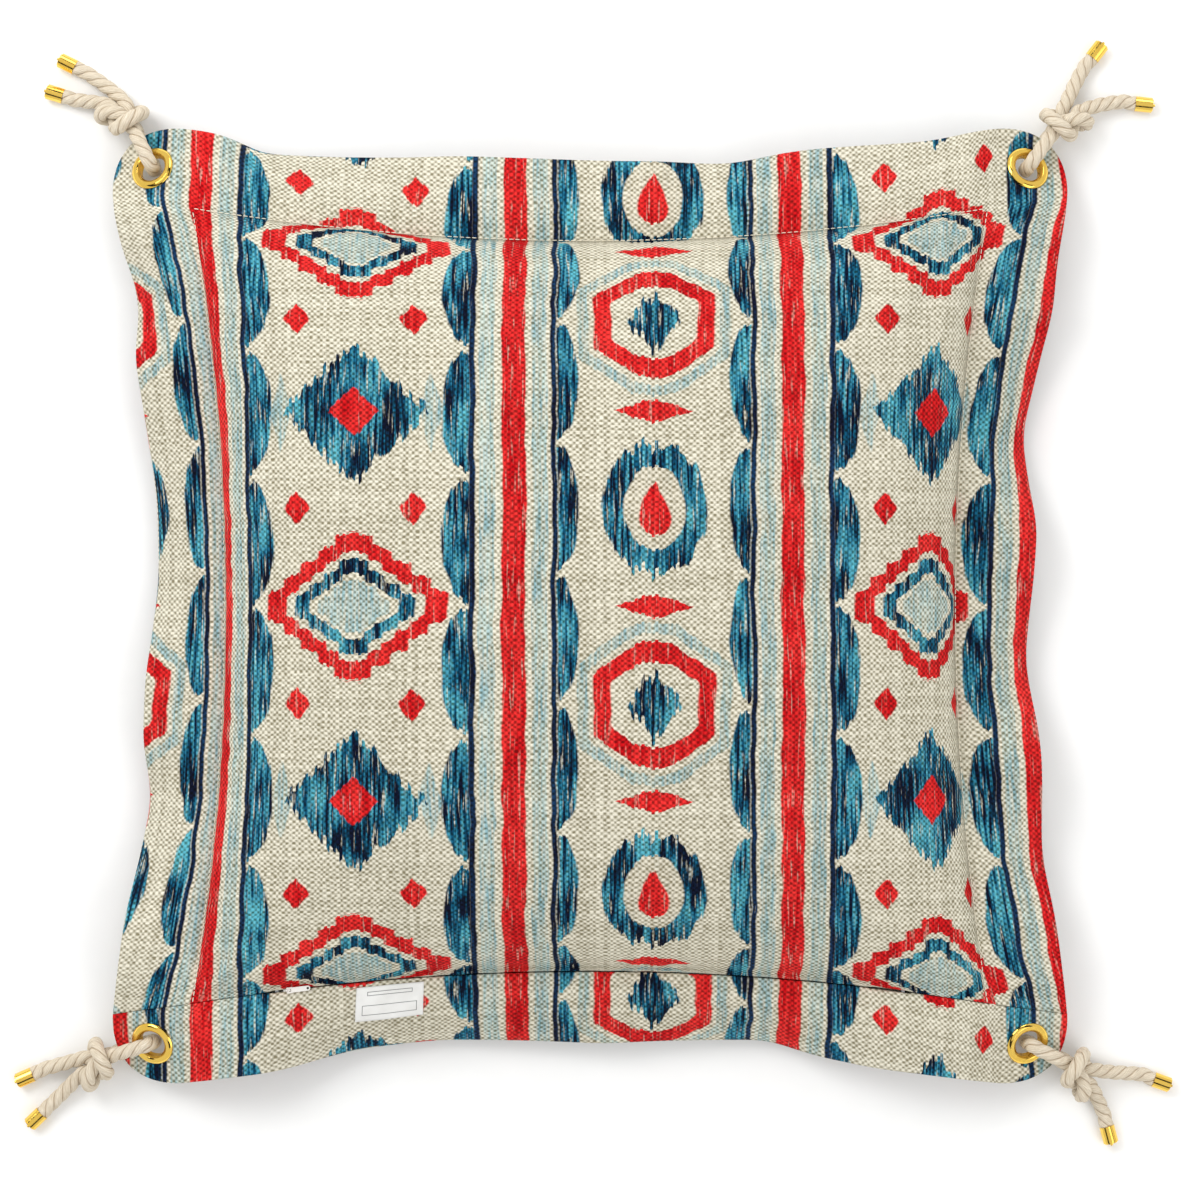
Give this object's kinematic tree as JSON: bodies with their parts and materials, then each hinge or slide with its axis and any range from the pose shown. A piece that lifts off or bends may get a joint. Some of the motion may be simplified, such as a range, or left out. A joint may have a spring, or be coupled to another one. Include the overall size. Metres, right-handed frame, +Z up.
{
  "type": "floor cushion",
  "caption": "Square floor cushion: flanged printed linen cover with concealed zip, stuffed inner pad, brass eyelets and knotted cotton rope ties at the corners.",
  "frame": {"origin": "centre of the cushion's footprint on the floor", "axes": "+Z up through the crown, the zip side towards -Y, the label side towards -X"},
  "size_m": [0.8451, 0.8061, 0.1533],
  "materials": {
    "cover_linen": "coarse plain weave, natural cream with an indigo, teal and red ikat print",
    "sewing_thread": "matt polyester thread",
    "casing_cotton": "plain white cotton",
    "filling_fibre": "hollow fibre",
    "zip_tape": "woven polyester tape, white",
    "zip_nylon": "white nylon coil",
    "zip_enamel": "white enamelled",
    "stop_metal": "plain pressed metal",
    "label_satin": "white woven satin, plain",
    "brass": "polished brass",
    "rope_cotton": "natural three-strand cotton"
  },
  "bodies": {
    "cushion": {"top_panel": "cover_linen", "zip_side_strip": "cover_linen", "bottom_panel": "cover_linen", "flange_thread": "sewing_thread", "insert_casing": "casing_cotton", "insert_filling": "filling_fibre", "zip_tape_inner": "zip_tape", "zip_tape_outer": "zip_tape", "zip_coil_inner": "zip_nylon", "zip_coil_outer": "zip_nylon", "zip_closed_stop": "stop_metal", "zip_open_stop": "stop_metal", "woven_label": "label_satin", "eyelet_rear_left": "brass", "eyelet_rear_right": "brass", "eyelet_front_left": "brass", "eyelet_front_right": "brass", "washer_rear_left": "brass", "washer_rear_right": "brass", "washer_front_left": "brass", "washer_front_right": "brass"},
    "zip_slider": {"zip_slider": "zip_enamel"},
    "zip_pull": {"zip_pull": "zip_enamel"},
    "tie_rear_left": {"rope_loop_rear_left": "rope_cotton", "rope_knot_rear_left": "rope_cotton", "rope_tail_rear_left_a": "rope_cotton", "rope_tail_rear_left_b": "rope_cotton", "ferrule_rear_left_a": "brass", "ferrule_rear_left_b": "brass"},
    "tie_rear_right": {"rope_loop_rear_right": "rope_cotton", "rope_knot_rear_right": "rope_cotton", "rope_tail_rear_right_a": "rope_cotton", "rope_tail_rear_right_b": "rope_cotton", "ferrule_rear_right_a": "brass", "ferrule_rear_right_b": "brass"},
    "tie_front_left": {"rope_loop_front_left": "rope_cotton", "rope_knot_front_left": "rope_cotton", "rope_tail_front_left_a": "rope_cotton", "rope_tail_front_left_b": "rope_cotton", "ferrule_front_left_a": "brass", "ferrule_front_left_b": "brass"},
    "tie_front_right": {"rope_loop_front_right": "rope_cotton", "rope_knot_front_right": "rope_cotton", "rope_tail_front_right_a": "rope_cotton", "rope_tail_front_right_b": "rope_cotton", "ferrule_front_right_a": "brass", "ferrule_front_right_b": "brass"}
  },
  "joints": [
    {"name": "tie_rear_left_swing", "type": "hinge", "parent": "cushion", "child": "tie_rear_left", "pos_m": [-0.316, 0.316, 0.03], "axis": [0, 0, 1], "range_deg": [-14, 52]},
    {"name": "tie_rear_right_swing", "type": "hinge", "parent": "cushion", "child": "tie_rear_right", "pos_m": [0.316, 0.316, 0.03], "axis": [0, 0, 1], "range_deg": [-43, 23]},
    {"name": "tie_front_left_swing", "type": "hinge", "parent": "cushion", "child": "tie_front_left", "pos_m": [-0.316, -0.316, 0.03], "axis": [0, 0, 1], "range_deg": [-5, 61]},
    {"name": "tie_front_right_swing", "type": "hinge", "parent": "cushion", "child": "tie_front_right", "pos_m": [0.316, -0.316, 0.03], "axis": [0, 0, 1], "range_deg": [-51, 15]},
    {"name": "zip_run", "type": "hinge", "parent": "cushion", "child": "zip_slider", "pos_m": [0, -1.99595, 0.054], "axis": [0, 0, -1], "range_deg": [0, 14.25]},
    {"name": "pull_flip", "type": "hinge", "parent": "zip_slider", "child": "zip_pull", "pos_m": [-0.21629, -0.27554, 0.0588], "axis": [0.124, -0.9923, 0], "range_deg": [0, 172]}
  ]
}
